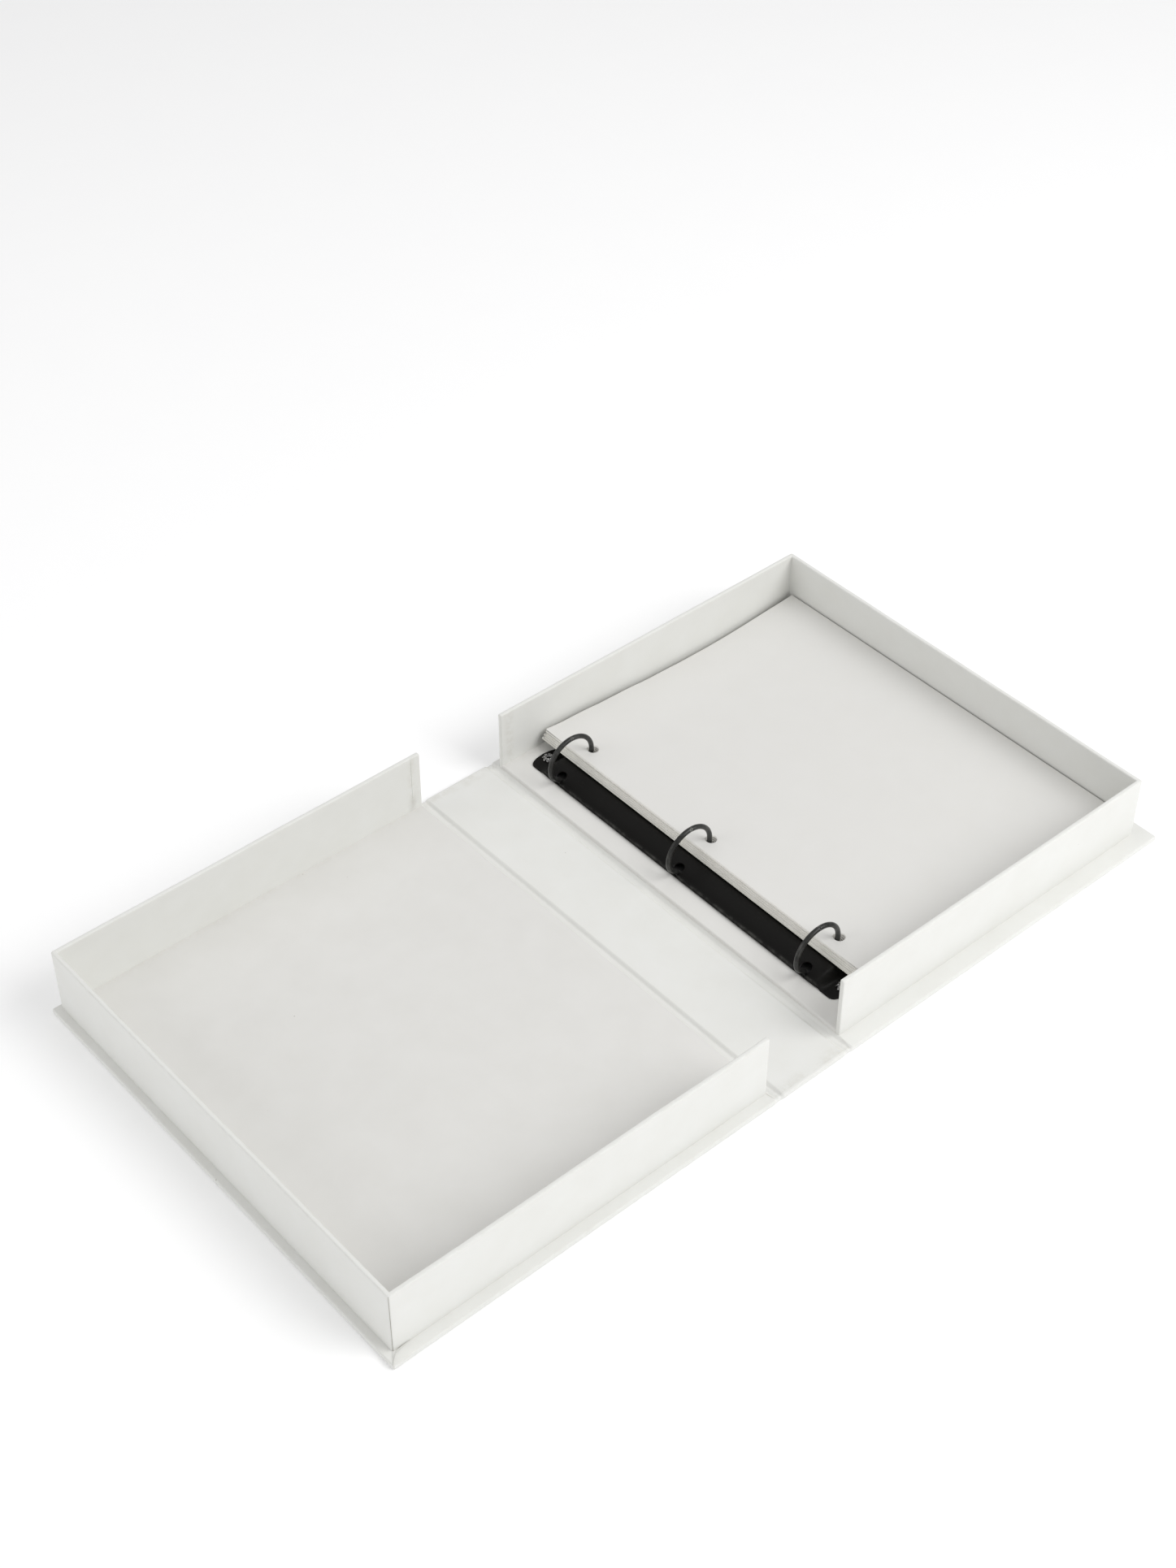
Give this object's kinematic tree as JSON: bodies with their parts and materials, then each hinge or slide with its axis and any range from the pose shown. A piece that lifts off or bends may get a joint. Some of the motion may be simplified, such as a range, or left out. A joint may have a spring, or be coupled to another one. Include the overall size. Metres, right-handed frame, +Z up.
{
  "type": "ring binder box",
  "caption": "White paper-covered clamshell box lying open, with two hinged trays and a black ring mechanism holding a stack of punched sheets.",
  "frame": {"origin": "on the table under the middle of the spine", "axes": "+X from the spine towards the tray with the rings, +Y along the spine towards the head, +Z up from the table"},
  "size_m": [0.5842, 0.317, 0.0482],
  "materials": {
    "board": "grey board",
    "card": "thin levelling card",
    "cover_paper": "matte white covering",
    "floor_paper": "matte white lining",
    "sheet_stack": "uncoated white sheets",
    "top_sheet": "uncoated white sheet",
    "black_steel": "black satin",
    "rivet_steel": "black oxide, semi-gloss",
    "blade_steel": "plain rolled",
    "ring_wire": "black semi-gloss"
  },
  "bodies": {
    "ring_tray": {"right_cover_board": "board", "right_outer_wrap": "cover_paper", "right_infill": "card", "right_hinge_flap": "cover_paper", "right_floor_board": "board", "right_floor_liner": "floor_paper", "right_head_wall": "board", "right_foredge_wall": "board", "right_tail_wall": "board", "right_wall_paper": "cover_paper", "ring_cover": "black_steel", "ring_rivets": "rivet_steel", "page_bundle_1": "sheet_stack", "page_bundle_2": "sheet_stack", "page_bundle_3": "sheet_stack", "page_bundle_4": "sheet_stack", "page_bundle_5": "sheet_stack", "top_sheet": "top_sheet"},
    "spine": {"spine_board": "board", "spine_outer_wrap": "cover_paper", "spine_liner": "cover_paper"},
    "lid_tray": {"left_cover_board": "board", "left_outer_wrap": "cover_paper", "left_infill": "card", "left_hinge_flap": "cover_paper", "left_floor_board": "board", "left_floor_liner": "floor_paper", "left_head_wall": "board", "left_foredge_wall": "board", "left_tail_wall": "board", "left_wall_paper": "cover_paper"},
    "left_ring_set": {"left_blade": "blade_steel", "left_ring_tail": "ring_wire", "left_ring_middle": "ring_wire", "left_ring_head": "ring_wire"},
    "right_ring_set": {"right_blade": "blade_steel", "right_ring_tail": "ring_wire", "right_ring_middle": "ring_wire", "right_ring_head": "ring_wire"}
  },
  "joints": [
    {"name": "spine_hinge", "type": "hinge", "parent": "ring_tray", "child": "spine", "pos_m": [0.0265, 0, 0.0004], "axis": [0, 1, 0], "range_deg": [0, 90]},
    {"name": "lid_hinge", "type": "hinge", "parent": "spine", "child": "lid_tray", "pos_m": [-0.0265, 0, 0.0004], "axis": [0, 1, 0], "range_deg": [0, 90]},
    {"name": "right_rings", "type": "hinge", "parent": "ring_tray", "child": "right_ring_set", "pos_m": [0.0669, 0.0052, 0.0081], "axis": [0, 1, 0], "range_deg": [0, 11]},
    {"name": "left_rings", "type": "hinge", "parent": "ring_tray", "child": "left_ring_set", "pos_m": [0.0451, 0.0052, 0.0081], "axis": [0, -1, 0], "range_deg": [0, 11]}
  ],
  "couplings": [
    {"joint": "left_rings", "follows": "right_rings", "ratio": 1}
  ]
}
